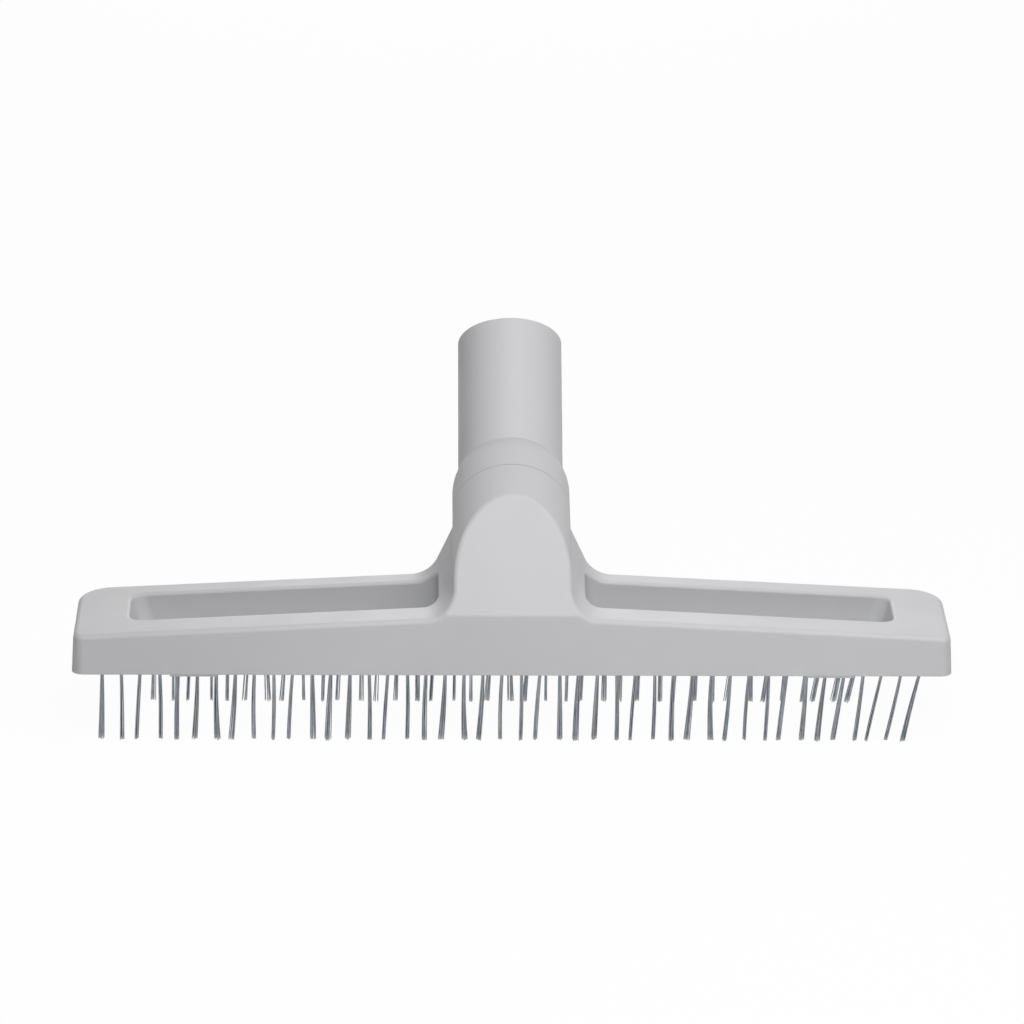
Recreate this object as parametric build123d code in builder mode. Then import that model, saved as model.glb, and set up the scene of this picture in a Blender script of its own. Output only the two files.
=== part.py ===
from build123d import *
import math
import os

os.makedirs("parts", exist_ok=True)

# Driving dimensions, in millimetres and degrees. X runs along the head, Y back, Z up.

# Head: a bar with two long windows
head_width = 300.0
head_depth = 48.6
arm_height = 21.3
arm_fall = 2.95
face_draft = 3.0
front_corner_radius = 4.0
rear_corner_radius = 12.0
front_beam = 14.0
rear_beam = 9.8
window_inner_end = 25.2
end_beam = 19.0
window_end_slope = 16.0
window_corner_radius = 5.0
top_edge_radius = 1.8
window_edge_radius = 1.2
pad_spacing = 217.0
pad_length = 16.0
pad_drop = 0.7

# Throat: an arch that lies along the tilted neck, cut by the sloping front facet
neck_radius = 20.35
neck_tilt = 15.0
neck_back = 29.0
neck_rise = 35.6
neck_overhang = 0.7
facet_slope = 54.0
facet_foot_rise = 21.2
throat_upright = 2.6
throat_lean = 25.0
throat_blend_radius = 10.5
sky_gap = 8.0

# Air way through the head
housing_wall = 2.4
neck_wall = 3.0
sleeve_wall = 2.0
sleeve_length = 15.0
mouth_front = 11.0
mouth_back = 37.0
mouth_half_width = 21.0
mouth_corner_radius = 3.0
throat_floor = 9.5

# Swivel elbow: a collar with a ball end, a mitred bend and the tube with its friction socket
swivel_gap = 0.3
parting_gap = 0.15
spigot_wall = 2.0
spigot_length = 14.6
collar_length = 10.6
tube_radius = 18.25
tube_tilt = 41.3
bend_distance = 43.9
tube_length = 53.2
socket_radius = 16.0
socket_depth = 43.0
tube_rim_radius = 0.6

# Retaining ring and felt seal on the spigot, set in from the neck's end
ring_inset = 12.0
ring_width = 1.6
ring_side_gap = 0.3
ring_bite = 1.0
ring_split = 4.0
seal_inset = 5.0
seal_width = 3.0
groove_depth = 0.9
groove_clearance = 0.05
seal_clearance = 0.1

# Wire strips
strip_width = 6.4
strip_height = 6.0
strip_recess = 0.3
strip_inset = 2.2
strip_clearance = 0.15
strip_margin = 4.5
backing_height = 1.2
tuft_pitch = 6.5
front_end_gap = 10.25
rear_end_gap = 26.5

# Wire tufts: four square wires in each
wire_side = 0.36
wire_reach = 25.3
tuft_root_spread = 0.6
tuft_tip_spread = 1.3
tuft_sway = 1.0
tuft_sway_turn = 137.5
row_lean = 0.7
end_lean = 5.5

# Screws that hold the strips
screw_head_radius = 2.0
screw_head_height = 1.4
screw_head_sink = 0.4
screw_head_rounding = 0.5
screw_shank_radius = 1.1
screw_shank_length = 9.0
screw_tip_chamfer = 0.5
pilot_depth = 10.5
screw_clearance = 0.15
pilot_clearance = 0.02
driver_slot_width = 0.7
driver_slot_length = 2.4
driver_slot_depth = 0.7
front_screw_gaps = (1, 8, 16)
rear_screw_gaps = (1, 7, 13)

# Hollow in each beam, above its strip
pocket_ledge = 0.9
pocket_roof = 2.6
pocket_start = 25.0
pocket_end_gap = 8.0
boss_radius = 3.0


def tan(angle):
    return math.tan(math.radians(angle))


def sin(angle):
    return math.sin(math.radians(angle))


def cos(angle):
    return math.cos(math.radians(angle))


# The tube's lower rim is the rearmost point, and the wire tips are the lowest
bend_back = neck_back + bend_distance * cos(neck_tilt)
bend_rise = neck_rise + bend_distance * sin(neck_tilt)
rim_back = bend_back + (tube_length - tube_rim_radius) * cos(tube_tilt)
overall_depth = rim_back + (tube_radius - tube_rim_radius) * sin(tube_tilt) + tube_rim_radius
front_y = -overall_depth / 2
base_z = wire_reach

# Views of the head, all from the middle of its front bottom edge
half_width = head_width / 2
window_outer_end = half_width - end_beam
sky = neck_rise + neck_radius + sky_gap
window_back = head_depth - rear_beam
window_depth = window_back - front_beam
floor_view = Plane((0, front_y, base_z))
front_view = Plane((0, front_y, base_z), x_dir=(1, 0, 0), z_dir=(0, -1, 0))
side_view = Plane((0, front_y, base_z), x_dir=(0, 1, 0), z_dir=(1, 0, 0))


def neck_view(station):
    """Cross-section of the neck at a distance along its axis."""
    back = neck_back + station * cos(neck_tilt)
    rise = neck_rise + station * sin(neck_tilt)
    direction = (0, cos(neck_tilt), sin(neck_tilt))
    return Plane((0, front_y + back, base_z + rise), x_dir=(-1, 0, 0), z_dir=direction)


def tube_view(distance):
    """Cross-section of the tube at a distance past the bend."""
    back = bend_back + distance * cos(tube_tilt)
    rise = bend_rise + distance * sin(tube_tilt)
    direction = (0, cos(tube_tilt), sin(tube_tilt))
    return Plane((0, front_y + back, base_z + rise), x_dir=(-1, 0, 0), z_dir=direction)


def arm_top(x):
    """Height of an arm's top at a distance from the middle."""
    return arm_height - x * tan(arm_fall)


def arch_outline(radius):
    """Half circle over short upright sides, which lean outwards further down."""
    spread = radius + (neck_rise - throat_upright) * tan(throat_lean)
    with BuildSketch() as outline:
        with BuildLine():
            Polyline(
                (radius, 0),
                (radius, -throat_upright),
                (spread, -neck_rise),
                (-spread, -neck_rise),
                (-radius, -throat_upright),
                (-radius, 0),
            )
            ThreePointArc((-radius, 0), (0, radius), (radius, 0))
        make_face()
    return outline.sketch


facet_foot_back = facet_foot_rise * tan(face_draft)
facet_run = (sky - facet_foot_rise) / tan(facet_slope)

neck_length = (head_depth - neck_back) / cos(neck_tilt) + neck_overhang
sleeve_start = neck_length - sleeve_length
ring_station = neck_length - ring_inset
seal_station = neck_length - seal_inset
bore_radius = neck_radius - neck_wall
spigot_radius = bore_radius - swivel_gap
duct_radius = spigot_radius - spigot_wall
groove_radius = spigot_radius - groove_depth

# Outer body of the throat, before the facet is cut
with BuildPart() as throat:
    with BuildSketch(neck_view(-head_depth)):
        add(arch_outline(neck_radius))
    extrude(amount=head_depth + neck_length)
    with BuildSketch(side_view):
        with BuildLine():
            Polyline(
                (0, 0),
                (sky * tan(face_draft), sky),
                (head_depth - sky * tan(face_draft), sky),
                (head_depth, 0),
                close=True,
            )
        make_face()
    extrude(amount=half_width, both=True, mode=Mode.INTERSECT)

# Air way: chamber behind the facet, bore of the neck and suction mouth below
with BuildPart() as air_way:
    with BuildSketch(neck_view(-head_depth)):
        add(arch_outline(bore_radius))
    extrude(amount=2 * head_depth)
    with BuildSketch(side_view):
        with BuildLine():
            floor_foot = throat_floor - housing_wall
            Polyline(
                (floor_foot * tan(face_draft), floor_foot),
                (facet_foot_back, facet_foot_rise),
                (facet_foot_back + facet_run, sky),
                (head_depth - sky * tan(face_draft), sky),
                (head_depth - floor_foot * tan(face_draft), floor_foot),
                close=True,
            )
        make_face()
        offset(amount=-housing_wall, kind=Kind.INTERSECTION)
    extrude(amount=window_inner_end - housing_wall, both=True, mode=Mode.INTERSECT)
    with BuildSketch(neck_view(sleeve_start)):
        Circle(bore_radius + sleeve_wall)
    extrude(amount=head_depth, mode=Mode.SUBTRACT)
    with BuildSketch(neck_view(sleeve_start)):
        Circle(bore_radius)
    extrude(amount=neck_length - sleeve_start + 1)
    with BuildSketch(floor_view.offset(-1)):
        with Locations((0, (mouth_front + mouth_back) / 2)):
            RectangleRounded(2 * mouth_half_width, mouth_back - mouth_front, mouth_corner_radius)
    extrude(amount=throat_floor + 2)

# One window with the space over it, upright but for its sloping outer end
with BuildPart() as window:
    with BuildSketch(front_view.offset(-front_beam)):
        with BuildLine():
            outer_foot = window_outer_end - (arm_top(window_outer_end) + 1) * tan(window_end_slope)
            outer_top = outer_foot + (sky + 1) * tan(window_end_slope)
            Polyline(
                (window_inner_end, -1),
                (outer_foot, -1),
                (outer_top, sky),
                (window_inner_end, sky),
                close=True,
            )
        make_face()
    extrude(amount=-window_depth)
    upright = edges().filter_by(lambda edge: abs(edge.tangent_at(0.5).Z) > 0.8)
    fillet(upright, window_corner_radius)


def row_plan(row_back, end_gap, screw_gaps):
    """A row's place, its half length and its screws, which stand midway between tufts."""
    row_end = round((head_width - 2 * end_gap) / tuft_pitch) * tuft_pitch / 2
    right_screws = [row_end - (gap + 0.5) * tuft_pitch for gap in screw_gaps]
    return row_back, row_end, [(side * x, row_back) for x in right_screws for side in (-1, 1)]


front_row_back = strip_inset + strip_width / 2
strip_top = strip_recess + strip_height
screw_seat = strip_recess + screw_head_sink + screw_head_height
rows = {
    "front": row_plan(front_row_back, front_end_gap, front_screw_gaps),
    "rear": row_plan(head_depth - front_row_back, rear_end_gap, rear_screw_gaps),
}

# Hollows of the beams, with a boss left round each screw
with BuildPart() as beam_hollows:
    for row_back, row_end, screw_places in rows.values():
        with BuildSketch(floor_view.offset(strip_top - 1)):
            pocket_end = row_end + strip_margin - pocket_end_gap
            with Locations((0, row_back)):
                Rectangle(2 * pocket_end, strip_width - 2 * pocket_ledge)
                Rectangle(2 * pocket_start, strip_width, mode=Mode.SUBTRACT)
            with Locations(screw_places):
                Circle(boss_radius, mode=Mode.SUBTRACT)
        extrude(amount=arm_height)
    with BuildSketch(front_view):
        with BuildLine():
            Polyline(
                (0, -1),
                (half_width, -1),
                (half_width, arm_top(half_width) - pocket_roof),
                (0, arm_top(0) - pocket_roof),
                close=True,
            )
        make_face()
        mirror(about=Plane.YZ)
    extrude(amount=-head_depth, mode=Mode.INTERSECT)

# Head housing
with BuildPart() as head_housing:
    with BuildSketch(floor_view):
        with Locations((0, head_depth / 2)):
            Rectangle(head_width, head_depth)
        fillet(vertices().group_by(Axis.Y)[-1], rear_corner_radius)
        fillet(vertices().group_by(Axis.Y)[0], front_corner_radius)
    extrude(amount=arm_height + 1, taper=face_draft)
    with BuildSketch(front_view):
        with BuildLine():
            Polyline(
                (0, arm_height),
                (head_width, arm_top(head_width)),
                (head_width, sky),
                (0, sky),
                close=True,
            )
        make_face()
        mirror(about=Plane.YZ)
    extrude(amount=-head_depth, mode=Mode.SUBTRACT)
    add(throat.part)

    def head_edges(test):
        """Edges whose middle passes a test on its place across, back and up."""
        places = [(edge, edge.center()) for edge in edges()]
        return [edge for edge, spot in places if test(abs(spot.X), spot.Y - front_y, spot.Z - base_z)]

    # Each side of the throat runs out into its arm
    def beside_throat(x, back, rise):
        return 0 < x < half_width / 2 and 1 < back < head_depth - 1 and abs(rise - arm_top(x)) < 0.1

    fillet(head_edges(beside_throat), throat_blend_radius)

    # Facet across the front
    with BuildSketch(side_view):
        with BuildLine():
            Polyline(
                (facet_foot_back, facet_foot_rise),
                (facet_foot_back + facet_run, sky),
                (-front_beam, sky),
                (-front_beam, facet_foot_rise),
                close=True,
            )
        make_face()
    extrude(amount=half_width, both=True, mode=Mode.SUBTRACT)

    # Rounded edges: the head's rim with the facet's outline, then the windows
    def on_rim_or_facet(x, back, rise):
        facet_back = facet_foot_back + (rise - facet_foot_rise) / tan(facet_slope)
        on_rim = back < facet_foot_back + 0.1 and rise > arm_top(half_width) / 2 - 2
        return on_rim or (rise > facet_foot_rise and abs(back - facet_back) < 0.6)

    fillet(head_edges(on_rim_or_facet), top_edge_radius)
    add(window.part, mode=Mode.SUBTRACT)
    add(mirror(window.part, about=Plane.YZ, mode=Mode.PRIVATE), mode=Mode.SUBTRACT)

    def round_window(x, back, rise):
        level = arm_top(x) - 1 < rise < neck_rise
        return level and window_inner_end - 1 < x < window_outer_end + 1 and front_beam - 1 < back < window_back + 1

    level_edges = [edge for edge in head_edges(round_window) if abs(edge.tangent_at(0.5).Z) < 0.9]
    fillet(level_edges, window_edge_radius)
    with BuildSketch(neck_view(sleeve_start)):
        Circle(neck_radius)
    extrude(amount=neck_length - sleeve_start)

    # Inside: air way, grooves for the strips, hollows and screw holes
    add(air_way.part, mode=Mode.SUBTRACT)
    add(beam_hollows.part, mode=Mode.SUBTRACT)
    for row_back, row_end, screw_places in rows.values():
        with BuildSketch(floor_view):
            groove_length = 2 * (row_end + strip_margin + strip_clearance)
            with Locations((0, row_back)):
                Rectangle(groove_length, strip_width + 2 * strip_clearance)
        extrude(amount=strip_top, mode=Mode.SUBTRACT)
        with BuildSketch(floor_view.offset(strip_top - 1)):
            with Locations(screw_places):
                Circle(screw_shank_radius + pilot_clearance)
        extrude(amount=screw_seat + pilot_depth - (strip_top - 1), mode=Mode.SUBTRACT)
    with BuildSketch(neck_view(ring_station - ring_side_gap)):
        Circle(bore_radius + ring_bite)
    extrude(amount=ring_width + 2 * ring_side_gap, mode=Mode.SUBTRACT)

    # Pads under the front and rear walls
    with BuildSketch(floor_view):
        for pad_back in (strip_inset / 2, head_depth - strip_inset / 2):
            with Locations((-pad_spacing / 2, pad_back), (pad_spacing / 2, pad_back)):
                Rectangle(pad_length, strip_inset - 2 * strip_clearance)
    extrude(amount=-pad_drop)

# Swivel elbow, with its spigot, collar and ball end turned about the neck's axis
collar_foot = neck_length + parting_gap
ball_station = collar_foot + collar_length
neck_axis = Axis(neck_view(0).origin, neck_view(0).z_dir)
turning_view = Plane(neck_view(0).origin, x_dir=(1, 0, 0), z_dir=(0, -sin(neck_tilt), cos(neck_tilt)))
mouth = tube_view(tube_length)
with BuildPart() as swivel_elbow:
    with BuildSketch(turning_view):
        with BuildLine():
            Polyline(
                (0, ball_station + neck_radius),
                (0, collar_foot - spigot_length),
                (spigot_radius, collar_foot - spigot_length),
                (spigot_radius, collar_foot),
                (neck_radius, collar_foot),
                (neck_radius, ball_station),
            )
            RadiusArc((neck_radius, ball_station), (0, ball_station + neck_radius), -neck_radius)
        make_face()
    revolve(axis=neck_axis)
    with BuildLine() as bend_line:
        Polyline(neck_view(ball_station).origin, tube_view(0).origin, mouth.origin)
    with BuildSketch(neck_view(ball_station)):
        Circle(tube_radius)
    sweep(transition=Transition.RIGHT)
    fillet(edges().sort_by(lambda edge: (edge.center() - mouth.origin).length)[0], tube_rim_radius)

    # Duct, mitred like the outside, and the socket at its end
    with BuildLine(mode=Mode.PRIVATE) as duct_line:
        Polyline(neck_view(collar_foot - spigot_length).origin, tube_view(0).origin, mouth.origin)
    with BuildSketch(neck_view(collar_foot - spigot_length)):
        Circle(duct_radius)
    sweep(path=duct_line.line, transition=Transition.RIGHT, mode=Mode.SUBTRACT)
    with BuildSketch(mouth):
        Circle(socket_radius)
    extrude(amount=-socket_depth, mode=Mode.SUBTRACT)

    # Grooves round the spigot
    for station, width in ((ring_station, ring_width), (seal_station, seal_width)):
        with BuildSketch(neck_view(station - groove_clearance)):
            Circle(spigot_radius + 1)
            Circle(groove_radius, mode=Mode.SUBTRACT)
        extrude(amount=width + 2 * groove_clearance, mode=Mode.SUBTRACT)

# Split retaining ring, half in the spigot's groove and half in the neck's
with BuildPart() as swivel_retaining_ring:
    with BuildSketch(neck_view(ring_station)):
        Circle(bore_radius + ring_bite - groove_clearance * 3)
        Circle(groove_radius + groove_clearance, mode=Mode.SUBTRACT)
        with Locations((0, -bore_radius)):
            Rectangle(ring_split, 2 * bore_radius, mode=Mode.SUBTRACT)
    extrude(amount=ring_width)

# Felt seal
with BuildPart() as swivel_seal:
    with BuildSketch(neck_view(seal_station)):
        Circle(bore_radius - seal_clearance)
        Circle(groove_radius + groove_clearance, mode=Mode.SUBTRACT)
    extrude(amount=seal_width)


def wire(root, tip):
    """One square wire, from inside the backing to the plane of the tips."""
    with BuildSketch(floor_view.offset(wire_root)) as section:
        with Locations(root):
            Rectangle(wire_side, wire_side, rotation=45)
    slant = Vector(tip[0] - root[0], tip[1] - root[1], -wire_root - wire_reach)
    return Solid.extrude(section.sketch.face(), slant)


def tuft(number, row_back, row_end):
    """Four wires that fan out, and sway a little from tuft to tuft."""
    x = number * tuft_pitch - row_end
    turn = number * tuft_sway_turn
    lean = tuft_sway * sin(turn) - row_lean - end_lean * (max(x, 0) / row_end) ** 4
    sway = tuft_sway * cos(turn) / 2
    wires = []
    for side, face in ((-1, -1), (1, -1), (-1, 1), (1, 1)):
        root = (x + side * tuft_root_spread / 2, row_back + face * tuft_root_spread / 2)
        tip = (x + lean + side * tuft_tip_spread / 2, row_back + sway + face * tuft_tip_spread / 2)
        wires.append(wire(root, tip))
    return wires


def export(piece, name):
    """Label a finished piece and write it under its name."""
    piece.part.label = name
    export_step(piece.part, f"parts/{name}.step")


# Each row has a carrier strip, and a backing with the wires set in it
wire_root = strip_recess + backing_height / 2
backing_top = strip_recess + backing_height
for row, (row_back, row_end, screw_places) in rows.items():
    strip_length = 2 * (row_end + strip_margin)
    with BuildPart() as wire_strip:
        with BuildSketch(floor_view.offset(backing_top)):
            with Locations((0, row_back)):
                Rectangle(strip_length, strip_width)
            with Locations(screw_places):
                Circle(screw_shank_radius + screw_clearance, mode=Mode.SUBTRACT)
        extrude(amount=strip_top - backing_top)
        with BuildSketch(floor_view.offset(backing_top)):
            with Locations(screw_places):
                Circle(screw_head_radius + screw_clearance)
        extrude(amount=screw_seat - backing_top, mode=Mode.SUBTRACT)
    with BuildPart() as wires:
        with BuildSketch(floor_view.offset(strip_recess)):
            with Locations((0, row_back)):
                Rectangle(strip_length, strip_width)
            with Locations(screw_places):
                Circle(screw_head_radius + screw_clearance, mode=Mode.SUBTRACT)
        extrude(amount=backing_height)
        tufts = round(2 * row_end / tuft_pitch) + 1
        add([strand for number in range(tufts) for strand in tuft(number, row_back, row_end)])
    export(wire_strip, f"{row}_wire_strip")
    export(wires, f"{row}_wires")

# Screws that hold both strips from below
with BuildPart() as strip_screws:
    for row_back, row_end, screw_places in rows.values():
        with BuildSketch(floor_view.offset(screw_seat)):
            with Locations(screw_places):
                Circle(screw_head_radius)
        extrude(amount=-screw_head_height)
        with BuildSketch(floor_view.offset(screw_seat)):
            with Locations(screw_places):
                Circle(screw_shank_radius)
        extrude(amount=screw_shank_length)
    fillet(edges().group_by(Axis.Z)[0], screw_head_rounding)
    chamfer(edges().group_by(Axis.Z)[-1], screw_tip_chamfer)
    for row_back, row_end, screw_places in rows.values():
        with BuildSketch(floor_view.offset(screw_seat - screw_head_height)):
            with Locations(screw_places):
                Rectangle(driver_slot_length, driver_slot_width)
        extrude(amount=driver_slot_depth, mode=Mode.SUBTRACT)

export(head_housing, "head_housing")
export(swivel_elbow, "swivel_elbow")
export(swivel_retaining_ring, "swivel_retaining_ring")
export(swivel_seal, "swivel_seal")
export(strip_screws, "strip_screws")
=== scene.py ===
"""Studio scene of a pile brush carpet groomer: its finishes, wire tufts, lamps and camera."""

import logging
import math
from dataclasses import dataclass
from enum import Enum
from typing import Any, Iterator

import bmesh
import bpy
from mathutils import Euler, Matrix, Vector


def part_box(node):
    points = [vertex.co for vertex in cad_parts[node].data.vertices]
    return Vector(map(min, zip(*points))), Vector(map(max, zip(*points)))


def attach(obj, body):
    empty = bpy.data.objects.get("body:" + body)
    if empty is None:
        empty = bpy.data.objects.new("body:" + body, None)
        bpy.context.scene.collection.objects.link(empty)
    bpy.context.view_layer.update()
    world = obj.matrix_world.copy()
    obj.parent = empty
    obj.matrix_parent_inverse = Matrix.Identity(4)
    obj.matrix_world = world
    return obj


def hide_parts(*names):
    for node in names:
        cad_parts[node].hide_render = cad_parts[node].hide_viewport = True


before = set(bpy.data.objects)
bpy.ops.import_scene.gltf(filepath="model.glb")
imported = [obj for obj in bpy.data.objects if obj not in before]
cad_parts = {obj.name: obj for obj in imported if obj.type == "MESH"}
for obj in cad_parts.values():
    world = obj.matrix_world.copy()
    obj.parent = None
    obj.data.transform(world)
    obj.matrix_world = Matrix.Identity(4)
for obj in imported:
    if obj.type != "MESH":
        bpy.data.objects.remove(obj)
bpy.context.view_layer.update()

MM = 0.001
UP = Vector((0.0, 0.0, 1.0))
WHITE = (1.0, 1.0, 1.0, 1.0)
GOLDEN_ANGLE = 137.5
# Nearly all the values of a noise lie between these two.
NOISE_LOW, NOISE_HIGH = 0.3, 0.7
# The colour sockets of a mix node, whose names its other sockets share.
MIX_FIRST, MIX_SECOND, MIX_RESULT = 6, 7, 2
LOG = logging.getLogger("groomer")


def linear(hex_colour: str) -> tuple[float, float, float, float]:
    """Turn an sRGB hex colour into a linear one, by the sRGB curve.

    Args:
        hex_colour: Six hex digits after a hash sign.

    Returns:
        Red, green, blue and an alpha of 1.
    """
    parts = (int(hex_colour[i : i + 2], 16) / 255 for i in (1, 3, 5))
    red, green, blue = (
        p / 12.92 if p <= 0.04045 else ((p + 0.055) / 1.055) ** 2.4 for p in parts
    )
    return red, green, blue, 1.0


def add_node(
    tree: bpy.types.NodeTree,
    kind: str,
    settings: dict[Any, Any],
    links: dict[Any, Any] | None = None,
) -> bpy.types.Node:
    """Add a node with its settings and the links that feed it.

    Args:
        tree: The node tree that takes the node.
        kind: The node's type.
        settings: Values of its properties, or of its input sockets by name or number.
        links: Output sockets, by the name or number of the input that each feeds.

    Returns:
        The new node.
    """
    node = tree.nodes.new(kind)
    for name, value in settings.items():
        if isinstance(name, str) and hasattr(node, name):
            setattr(node, name, value)
        else:
            node.inputs[name].default_value = value
    for name, source in (links or {}).items():
        tree.links.new(source, node.inputs[name])
    return node


def toned(
    tree: bpy.types.NodeTree, colour: str, tone: bpy.types.NodeSocket
) -> bpy.types.NodeSocket:
    """Multiply a plain colour by a tone that changes over the piece.

    Args:
        tree: The material's node tree.
        colour: The plain colour in hex.
        tone: The socket that gives the tone.

    Returns:
        The socket that gives the toned colour.
    """
    mix = add_node(
        tree,
        "ShaderNodeMix",
        {
            "data_type": "RGBA",
            "blend_type": "MULTIPLY",
            "Factor": 1.0,
            MIX_FIRST: linear(colour),
        },
        {MIX_SECOND: tone},
    )
    return mix.outputs[MIX_RESULT]


@dataclass(frozen=True)
class Finish:
    """What every finish of the groomer has: its name, colour and gloss."""

    name: str
    colour: str
    roughness: float

    def begin(self) -> tuple[bpy.types.Material, bpy.types.NodeTree, bpy.types.NodeSocket]:
        """Start the material.

        Returns:
            The material, its empty node tree and the Object coordinates.
        """
        material = bpy.data.materials.new(self.name)
        material.use_nodes = True
        tree = material.node_tree
        tree.nodes.clear()
        place = add_node(tree, "ShaderNodeTexCoord", {}).outputs["Object"]
        return material, tree, place

    def end(
        self, tree: bpy.types.NodeTree, settings: dict[str, Any], links: dict[str, Any]
    ) -> None:
        """Close the material with its surface shader.

        Args:
            tree: The material's node tree.
            settings: Values of the shader's sockets that are the same all over.
            links: What feeds the shader's other sockets.
        """
        shader = add_node(tree, "ShaderNodeBsdfPrincipled", settings, links)
        add_node(tree, "ShaderNodeOutputMaterial", {}, {"Surface": shader.outputs[0]})

    def mottle(
        self,
        tree: bpy.types.NodeTree,
        place: bpy.types.NodeSocket,
        size: float,
        low: float,
        high: float,
    ) -> bpy.types.NodeSocket:
        """Soft cloudy values between two limits.

        Args:
            tree: The material's node tree.
            place: The coordinates of the pattern.
            size: Width of one cloud, in millimetres.
            low: Least value.
            high: Greatest value.

        Returns:
            The socket that gives the values.
        """
        noise = add_node(
            tree,
            "ShaderNodeTexNoise",
            {"Scale": 1 / (size * MM), "Detail": 3.0},
            {"Vector": place},
        )
        clouds = add_node(
            tree,
            "ShaderNodeMapRange",
            {"From Min": NOISE_LOW, "From Max": NOISE_HIGH, "To Min": low, "To Max": high},
            {"Value": noise.outputs["Fac"]},
        )
        return clouds.outputs["Result"]


@dataclass(frozen=True)
class MouldedPlastic(Finish):
    """Injection-moulded ABS: even colour with faint flow clouds, and a fine spark-eroded grain."""

    shade: float = 0.97
    cloud: float = 38.0
    gloss_clouds: int = 3
    duller: float = 0.05
    glossier: float = 0.04
    grain: float = 0.55
    grain_depth: float = 0.012
    grain_strength: float = 0.35
    edge: float = 0.35
    edge_samples: int = 6
    refraction: float = 1.54
    specular: float = 0.2

    def material(self) -> bpy.types.Material:
        """Build the plastic."""
        material, tree, place = self.begin()
        # Flow clouds of the melt, wide and faint, keep large faces from looking painted.
        tone = self.mottle(tree, place, self.cloud, self.shade, 1.0)
        colour = toned(tree, self.colour, tone)
        # No moulded edge is quite sharp.
        edges = add_node(
            tree, "ShaderNodeBevel", {"samples": self.edge_samples, "Radius": self.edge * MM}
        )
        # Grain of this kind is finer in life; it is drawn coarser so that the render shows it.
        grain = add_node(
            tree,
            "ShaderNodeTexNoise",
            {"Scale": 1 / (self.grain * MM), "Detail": 2.0},
            {"Vector": place},
        )
        bump = add_node(
            tree,
            "ShaderNodeBump",
            {"Strength": self.grain_strength, "Distance": self.grain_depth * MM},
            {"Height": grain.outputs["Fac"], "Normal": edges.outputs["Normal"]},
        )
        gloss = self.mottle(
            tree,
            place,
            self.cloud / self.gloss_clouds,
            self.roughness - self.glossier,
            self.roughness + self.duller,
        )
        self.end(
            tree,
            {"IOR": self.refraction, "Specular IOR Level": self.specular},
            {"Base Color": colour, "Roughness": gloss, "Normal": bump.outputs["Normal"]},
        )
        return material


@dataclass(frozen=True)
class DrawnSteel(Finish):
    """Oil-tempered spring-steel wire: blue-grey with drawn lines, and paler towards its cut tip,
    partly paler cut steel and partly painted light near the floor.
    """

    # The pale tip colour and its height are partly paler cut steel and partly painted light where
    # the wires near the floor.
    cut_and_painted_light_colour: str = "#D2D6D8"
    cut_and_painted_light_height: float = 2.5
    streak: float = 0.5
    streak_length: float = 9.0
    dark: float = 0.75
    light: float = 1.2

    def material(self) -> bpy.types.Material:
        """Build the steel."""
        material, tree, place = self.begin()
        across, along = 1 / (self.streak * MM), 1 / (self.streak_length * MM)
        stretched = add_node(
            tree, "ShaderNodeMapping", {"Scale": (across, across, along)}, {"Vector": place}
        )
        # Die lines and uneven temper colour run along each wire.
        lines = add_node(
            tree,
            "ShaderNodeTexNoise",
            {"Scale": 1.0, "Detail": 2.0},
            {"Vector": stretched.outputs[0]},
        )
        tone = add_node(
            tree,
            "ShaderNodeMapRange",
            {
                "From Min": NOISE_LOW,
                "From Max": NOISE_HIGH,
                "To Min": self.dark,
                "To Max": self.light,
            },
            {"Value": lines.outputs["Fac"]},
        )
        steel = toned(tree, self.colour, tone.outputs["Result"])
        # Paler towards the tip: the cut ends are paler steel, and the band is widened and
        # brightened as painted light near the floor.
        height = add_node(tree, "ShaderNodeSeparateXYZ", {}, {"Vector": place}).outputs["Z"]
        cut = add_node(
            tree,
            "ShaderNodeMapRange",
            {"From Min": self.cut_and_painted_light_height * MM, "From Max": 0.0},
            {"Value": height},
        )
        colour = add_node(
            tree,
            "ShaderNodeMix",
            {"data_type": "RGBA", MIX_SECOND: linear(self.cut_and_painted_light_colour)},
            {"Factor": cut.outputs["Result"], MIX_FIRST: steel},
        )
        self.end(
            tree,
            {"Metallic": 1.0, "Roughness": self.roughness},
            {"Base Color": colour.outputs[MIX_RESULT]},
        )
        return material


@dataclass(frozen=True)
class PlatedSteel(Finish):
    """Bright zinc plate or plain spring steel: fine scratches in all directions."""

    scratch: float = 0.4
    duller: float = 0.1
    glossier: float = 0.08

    def material(self) -> bpy.types.Material:
        """Build the plated steel."""
        material, tree, place = self.begin()
        # Uneven gloss on a small scale gives the rubbed look of handled metal.
        gloss = self.mottle(
            tree,
            place,
            self.scratch,
            self.roughness - self.glossier,
            self.roughness + self.duller,
        )
        self.end(
            tree, {"Base Color": linear(self.colour), "Metallic": 1.0}, {"Roughness": gloss}
        )
        return material


@dataclass(frozen=True)
class PressedFelt(Finish):
    """Dense pressed wool felt: matt, with short tangled fibres."""

    fibre: float = 0.35
    nap: float = 0.15
    nap_strength: float = 0.8
    dark: float = 0.7
    light: float = 1.1
    sheen: float = 0.3

    def material(self) -> bpy.types.Material:
        """Build the felt."""
        material, tree, place = self.begin()
        # Tangled fibres show as small light and dark tufts that stand up a little.
        tone = self.mottle(tree, place, self.fibre, self.dark, self.light)
        colour = toned(tree, self.colour, tone)
        fibres = add_node(
            tree,
            "ShaderNodeBump",
            {"Strength": self.nap_strength, "Distance": self.nap * MM},
            {"Height": tone},
        )
        self.end(
            tree,
            {"Roughness": self.roughness, "Sheen Weight": self.sheen},
            {"Base Color": colour, "Normal": fibres.outputs["Normal"]},
        )
        return material


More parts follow.
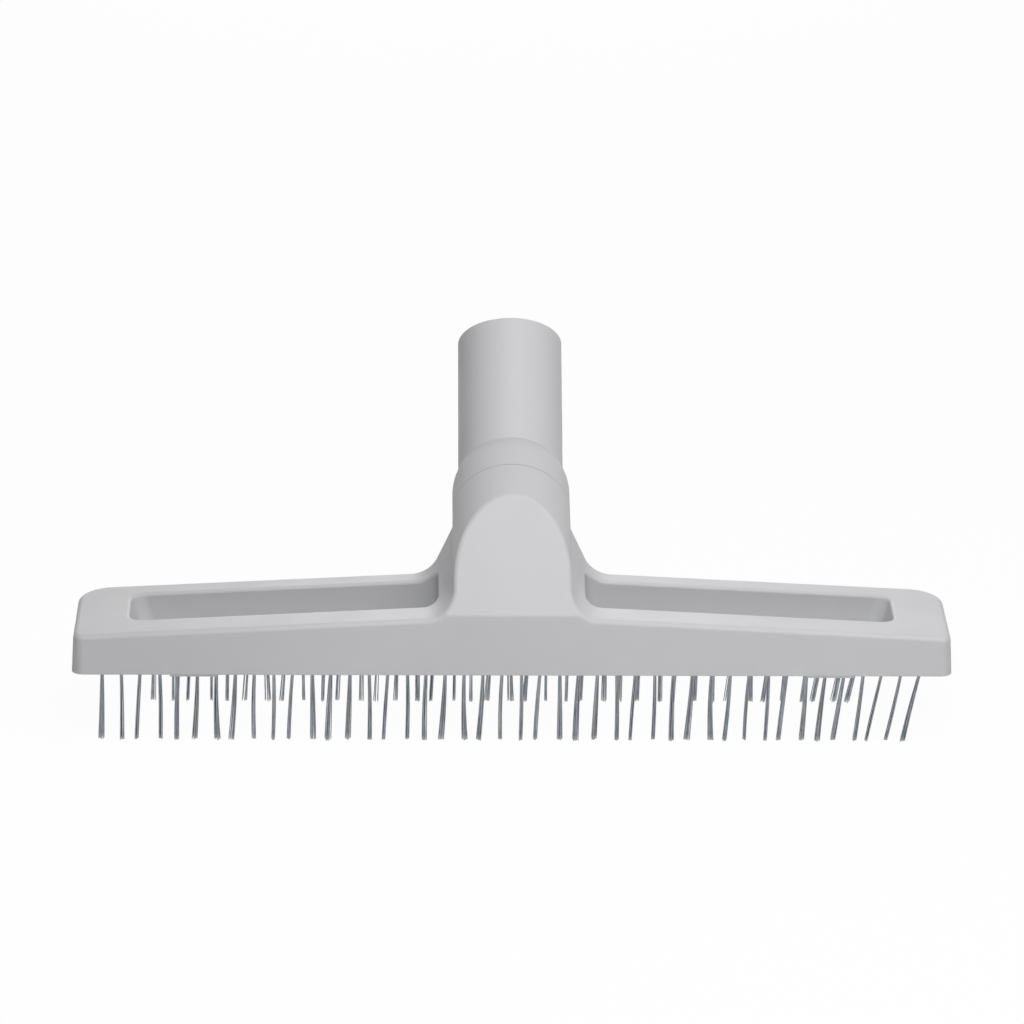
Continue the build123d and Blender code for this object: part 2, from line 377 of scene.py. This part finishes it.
HOUSING_PLASTIC = MouldedPlastic("moulded_abs_light_grey", "#D2D2D4", 0.46)
ELBOW_PLASTIC = MouldedPlastic("moulded_abs_elbow", "#D2D2D4", 0.44)
STRIP_PLASTIC = MouldedPlastic("moulded_nylon_dark_grey", "#4B4C4F", 0.5)
WIRE_STEEL = DrawnSteel("oil_tempered_wire", "#ABB1B8", 0.5)
RING_STEEL = PlatedSteel("plain_spring_steel", "#A5A6A8", 0.3)
SCREW_STEEL = PlatedSteel("zinc_plated_steel", "#C6C7C9", 0.28)
SEAL_FELT = PressedFelt("pressed_felt_grey", "#6A6A6C", 0.95)


class Side(Enum):
    """The two rows of tufts."""

    FRONT = "front"
    REAR = "rear"


def finished(mesh: bmesh.types.BMesh, name: str, material: bpy.types.Material) -> bpy.types.Object:
    """Turn a bmesh into a piece at the origin.

    Args:
        mesh: The piece's shape, which is freed.
        name: Name of the piece.
        material: Its finish.

    Returns:
        The new object, linked to the scene.
    """
    data = bpy.data.meshes.new(name)
    mesh.to_mesh(data)
    mesh.free()
    data.materials.append(material)
    piece = bpy.data.objects.new(name, data)
    bpy.context.scene.collection.objects.link(piece)
    return piece


def dress(node: str, material: bpy.types.Material) -> None:
    """Give a piece of the frame its finish."""
    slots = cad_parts[node].data.materials
    slots.clear()
    slots.append(material)
    LOG.info("%s: %s", node, material.name)


@dataclass
class Head:
    """The moulded head with its windows, throat and neck."""

    node: str = "head_housing"

    def build(self) -> None:
        """Finish the moulding."""
        dress(self.node, HOUSING_PLASTIC.material())


@dataclass
class Swivel:
    """The elbow that turns in the neck, with its ring and seal."""

    elbow: str = "swivel_elbow"
    ring: str = "swivel_retaining_ring"
    seal: str = "swivel_seal"

    def build(self) -> None:
        """Finish the elbow and what holds it."""
        dress(self.elbow, ELBOW_PLASTIC.material())
        dress(self.ring, RING_STEEL.material())
        dress(self.seal, SEAL_FELT.material())


@dataclass(frozen=True)
class Wire:
    """One wire of a tuft, from its root in the backing to its cut tip, in millimetres."""

    root: Vector
    tip: Vector
    bow: Vector

    def at(self, share: float) -> Vector:
        """Point of the wire at a share of its length."""
        return self.root.lerp(self.tip, share) + self.bow * math.sin(math.pi * share)


@dataclass(frozen=True)
class Rates:
    """How fast each small change runs on from tuft to tuft, or wire to wire, in radians.

    None is a whole part of a turn, so that no two tufts look alike.
    """

    spread: float = 5.3
    spread_start: float = 1.0
    bow_across: float = 2.9
    bow_back: float = 4.1
    stray_across: float = 8.0
    stray_back: float = 6.0
    stray_back_tuft: float = 2.0
    cut: float = 11.0
    cut_tuft: float = 3.0


@dataclass
class WireRow:
    """A row of wire tufts and the backing that they are set in. Lengths are in millimetres.

    The rake is how far the tips stand in front of the roots.
    """

    side: Side
    tufts: int
    screws: tuple[float, ...]
    wires: int
    rake: float
    steel: bpy.types.Material
    plastic: bpy.types.Material
    body: str = "head"
    pitch: float = 6.5
    wire_radius: float = 0.19
    wire_sides: int = 6
    wire_steps: int = 6
    root_radius: float = 0.46
    tip_radius: float = 0.88
    first_wire: float = 0.3
    sway_across: float = 1.0
    sway_back: float = 0.5
    row_lean: float = 0.7
    end_lean: float = 5.5
    end_lean_power: int = 4
    spread: float = 0.95
    spread_change: float = 0.35
    bow: float = 0.25
    stray: float = 0.12
    cut: float = 0.35
    rates: Rates = Rates()
    backing_height: float = 1.2
    tuft_hole: float = 0.68
    tuft_hole_sides: int = 10
    screw_hole: float = 2.15
    screw_hole_sides: int = 28

    def __post_init__(self) -> None:
        """Read the row's place from the frame."""
        low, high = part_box(f"{self.side.value}_wires")
        strip_low, strip_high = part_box(f"{self.side.value}_wire_strip")
        self.floor = low.z / MM
        self.backing_top = high.z / MM
        self.backing_foot = self.backing_top - self.backing_height
        self.back = (strip_low.y + strip_high.y) / 2 / MM
        self.half_length = strip_high.x / MM
        self.half_width = (strip_high.y - strip_low.y) / 2 / MM
        self.row_end = (self.tufts - 1) * self.pitch / 2

    def tuft_wires(self, number: int) -> Iterator[Wire]:
        """The wires of one tuft, spread evenly over a round bundle that opens towards its tips.

        Args:
            number: The tuft's place in its row, from the left.

        Yields:
            Each wire, from the middle of the bundle outwards.
        """
        rates = self.rates
        x = number * self.pitch - self.row_end
        turn = math.radians(number * GOLDEN_ANGLE)
        worn = self.end_lean * (max(x, 0.0) / self.row_end) ** self.end_lean_power
        lean = self.sway_across * math.sin(turn) - self.row_lean - worn
        sway = self.sway_back * math.cos(turn)
        spread = self.spread + self.spread_change * math.sin(
            rates.spread * number + rates.spread_start
        )
        bow = self.bow * Vector(
            (math.sin(rates.bow_across * number), math.cos(rates.bow_back * number), 0.0)
        )
        top = Vector((x, self.back, self.backing_top - self.backing_height / 2))
        for n in range(self.wires):
            angle = turn + math.radians(GOLDEN_ANGLE) * n
            reach = math.sqrt((n + self.first_wire) / self.wires)
            out = Vector((math.cos(angle), math.sin(angle), 0.0)) * reach
            stray = self.stray * Vector(
                (
                    math.sin(rates.stray_across * n + number),
                    math.cos(rates.stray_back * n + rates.stray_back_tuft * number),
                    0.0,
                )
            )
            uneven = 0.5 + 0.5 * math.sin(rates.cut * n + rates.cut_tuft * number)
            # The first wire of each tuft keeps its full length.
            shorter = self.cut * uneven * (n > 0)
            root = top + out * self.root_radius
            foot = Vector((x + lean, self.back + sway - self.rake, self.floor + shorter))
            yield Wire(root, foot + out * self.tip_radius * spread + stray, bow + stray)

    def tuft_mesh(self) -> bmesh.types.BMesh:
        """Grow every wire of the row at once, ring by ring, from a small disc at its root."""
        mesh = bmesh.new()
        owner = mesh.verts.layers.int.new("wire")
        wires = [wire for number in range(self.tufts) for wire in self.tuft_wires(number)]
        for n, wire in enumerate(wires):
            place = Matrix.Translation(wire.root * MM)
            radius = self.wire_radius * MM
            disc = bmesh.ops.create_circle(
                mesh, cap_ends=True, segments=self.wire_sides, radius=radius, matrix=place
            )
            for vert in disc["verts"]:
                vert[owner] = n
        tips = mesh.faces[:]
        for step in range(self.wire_steps):
            grown = bmesh.ops.extrude_face_region(mesh, geom=tips)["geom"]
            tips = [part for part in grown if isinstance(part, bmesh.types.BMFace)]
            for vert in (part for part in grown if isinstance(part, bmesh.types.BMVert)):
                wire = wires[vert[owner]]
                reached = wire.at(step / self.wire_steps)
                vert.co += (wire.at((step + 1) / self.wire_steps) - reached) * MM
        bmesh.ops.recalc_face_normals(mesh, faces=mesh.faces)
        for face in mesh.faces:
            face.smooth = len(face.verts) == 4
        return mesh

    def backing_mesh(self) -> bmesh.types.BMesh:
        """Make the thin backing, with a hole for each tuft and each screw head."""
        mesh = bmesh.new()
        corners = ((-1, -1), (1, -1), (1, 1), (-1, 1))
        rim = []
        for x, y in corners:
            along, across = x * self.half_length, self.back + y * self.half_width
            rim.append(mesh.verts.new(Vector((along, across, self.backing_foot)) * MM))
        for n in range(len(rim)):
            mesh.edges.new((rim[n - 1], rim[n]))
        holes = [
            (n * self.pitch - self.row_end, self.tuft_hole, self.tuft_hole_sides)
            for n in range(self.tufts)
        ]
        holes += [
            (side * x, self.screw_hole, self.screw_hole_sides)
            for x in self.screws
            for side in (-1, 1)
        ]
        for x, radius, segments in holes:
            place = Matrix.Translation(Vector((x, self.back, self.backing_foot)) * MM)
            bmesh.ops.create_circle(mesh, segments=segments, radius=radius * MM, matrix=place)
        bmesh.ops.triangle_fill(mesh, edges=mesh.edges[:], use_beauty=True, normal=-UP)
        raised = bmesh.ops.extrude_face_region(mesh, geom=mesh.faces[:])["geom"]
        for vert in (part for part in raised if isinstance(part, bmesh.types.BMVert)):
            vert.co.z += self.backing_height * MM
        bmesh.ops.recalc_face_normals(mesh, faces=mesh.faces)
        return mesh

    def build(self) -> None:
        """Make the row's tufts and backing in place of its plain wires."""
        name = self.side.value
        tufts = finished(self.tuft_mesh(), f"{name}_wire_tufts", self.steel)
        backing = finished(self.backing_mesh(), f"{name}_wire_backing", self.plastic)
        for piece, slot in ((tufts, "wire_steel"), (backing, "strip_plastic")):
            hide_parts(f"{name}_wires")
            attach(piece, self.body)
            LOG.info("%s: %d faces", piece.name, len(piece.data.polygons))
        dress(f"{name}_wire_strip", self.plastic)


@dataclass(frozen=True)
class Softbox:
    """A large soft lamp."""

    name: str
    place: tuple[float, float, float]
    width: float
    height: float
    watts: float
    aim: tuple[float, float, float] = (0.0, -0.04, 0.05)

    def build(self) -> None:
        """Hang the lamp and turn it to the object."""
        data = bpy.data.lights.new(self.name, "AREA")
        data.shape = "RECTANGLE"
        data.size = self.width
        data.size_y = self.height
        data.energy = self.watts
        lamp = bpy.data.objects.new(self.name, data)
        lamp.location = self.place
        sight = Vector(self.aim) - Vector(self.place)
        lamp.rotation_euler = sight.to_track_quat("-Z", "Y").to_euler()
        bpy.context.scene.collection.objects.link(lamp)
        LOG.info("lamp %s: %.1f W", self.name, self.watts)


@dataclass
class Studio:
    """A pale floor, a white surround and the lamps."""

    lamps: tuple[Softbox, ...]
    floor_size: float = 12.0
    floor_gap: float = 0.1
    floor_colour: str = "#F2F2F2"
    floor_shadow: float = 0.03
    ambient: float = 0.1

    def seen(self, tree: bpy.types.NodeTree) -> bpy.types.NodeSocket:
        """Tell rays that the camera sees, straight or in a reflection, from rays that light.

        Args:
            tree: The node tree that asks.

        Returns:
            A socket that gives 1 for a seen ray and 0 for the others.
        """
        path = add_node(tree, "ShaderNodeLightPath", {})
        either = add_node(
            tree,
            "ShaderNodeMath",
            {"operation": "MAXIMUM"},
            {0: path.outputs["Is Camera Ray"], 1: path.outputs["Is Glossy Ray"]},
        )
        return add_node(
            tree,
            "ShaderNodeMath",
            {"operation": "MAXIMUM"},
            {0: either.outputs[0], 1: path.outputs["Is Transmission Ray"]},
        ).outputs[0]

    def floor(self) -> None:
        """Lay the floor under the tips of the wires."""
        mesh = bmesh.new()
        place = Matrix.Translation((0.0, 0.0, -self.floor_gap * MM))
        bmesh.ops.create_grid(
            mesh, x_segments=1, y_segments=1, size=self.floor_size / 2, matrix=place
        )
        material = bpy.data.materials.new("pale_floor")
        material.use_nodes = True
        tree = material.node_tree
        tree.nodes.clear()
        paper = add_node(tree, "ShaderNodeBsdfDiffuse", {"Color": linear(self.floor_colour)})
        white = add_node(tree, "ShaderNodeEmission", {"Color": WHITE, "Strength": 1.0})
        glow = add_node(
            tree,
            "ShaderNodeMath",
            {"operation": "MULTIPLY", 1: 1 - self.floor_shadow},
            {0: self.seen(tree)},
        )
        mix = add_node(
            tree,
            "ShaderNodeMixShader",
            {},
            {0: glow.outputs[0], 1: paper.outputs[0], 2: white.outputs[0]},
        )
        add_node(tree, "ShaderNodeOutputMaterial", {}, {"Surface": mix.outputs[0]})
        finished(mesh, "studio_floor", material)

    def surround(self) -> None:
        """Make the world white where it is seen, and a low even light elsewhere."""
        world = bpy.data.worlds.new("studio_surround")
        world.use_nodes = True
        bpy.context.scene.world = world
        tree = world.node_tree
        tree.nodes.clear()
        level = add_node(
            tree,
            "ShaderNodeMapRange",
            {"To Min": self.ambient, "To Max": 1.0},
            {"Value": self.seen(tree)},
        )
        light = add_node(
            tree,
            "ShaderNodeBackground",
            {"Color": WHITE},
            {"Strength": level.outputs["Result"]},
        )
        add_node(tree, "ShaderNodeOutputWorld", {}, {"Surface": light.outputs[0]})

    def build(self) -> None:
        """Set up the studio."""
        self.floor()
        self.surround()
        for lamp in self.lamps:
            lamp.build()


@dataclass(frozen=True)
class StudioCamera:
    """The photograph's camera.

    Its aim is in millimetres from the head's front bottom edge, which lies a pad's drop above
    the lowest point of the head. The distance is in metres and the angles are in degrees.
    """

    aim_across: float = -0.17
    aim_back: float = 24.0
    aim_rise: float = 50.5
    distance: float = 2.0
    pitch: float = 20.0
    yaw: float = -1.0
    roll: float = 0.5
    focal_length: float = 206.0
    sensor: float = 36.0
    farthest: float = 100.0
    pad_drop: float = 0.7

    def build(self) -> None:
        """Place the camera and make it the scene's own."""
        head_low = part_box("head_housing")[0]
        bottom = head_low.z + self.pad_drop * MM
        aim = Vector(
            (
                self.aim_across * MM,
                head_low.y + self.aim_back * MM,
                bottom + self.aim_rise * MM,
            )
        )
        turn = Euler((math.radians(90.0 - self.pitch), 0.0, math.radians(self.yaw))).to_matrix()
        place = aim + turn @ Vector((0.0, 0.0, self.distance))
        data = bpy.data.cameras.new("studio_camera")
        data.lens = self.focal_length
        data.sensor_width = self.sensor
        data.clip_end = self.farthest
        camera = bpy.data.objects.new("studio_camera", data)
        roll = Matrix.Rotation(math.radians(self.roll), 3, "Z")
        camera.matrix_world = Matrix.Translation(place) @ (turn @ roll).to_4x4()
        bpy.context.scene.collection.objects.link(camera)
        bpy.context.scene.camera = camera


LAMPS = (
    Softbox("key_front", (-0.05, -0.58, 0.64), 0.4, 0.4, 1.75),
    Softbox("top", (0.12, -0.25, 0.82), 0.4, 0.4, 2.0),
    Softbox("right", (0.26, -0.3, 0.5), 0.3, 0.3, 0.95, (0.15, -0.05, 0.03)),
    Softbox("low_back", (0.0, 1.12, 0.36), 0.5, 0.5, 2.0),
)


def main() -> None:
    """Dress the groomer, grow its tufts, and set up the studio."""
    logging.basicConfig(level=logging.INFO, format="%(message)s")
    Head().build()
    Swivel().build()
    steel = WIRE_STEEL.material()
    plastic = STRIP_PLASTIC.material()
    WireRow(Side.FRONT, 44, (130.0, 84.5, 32.5), 12, 1.1, steel, plastic).build()
    WireRow(Side.REAR, 39, (113.75, 74.75, 35.75), 8, 3.4, steel, plastic).build()
    dress("strip_screws", SCREW_STEEL.material())
    Studio(LAMPS).build()
    StudioCamera().build()
    bpy.context.scene.view_settings.view_transform = "Standard"


if __name__ == "__main__":
    main()
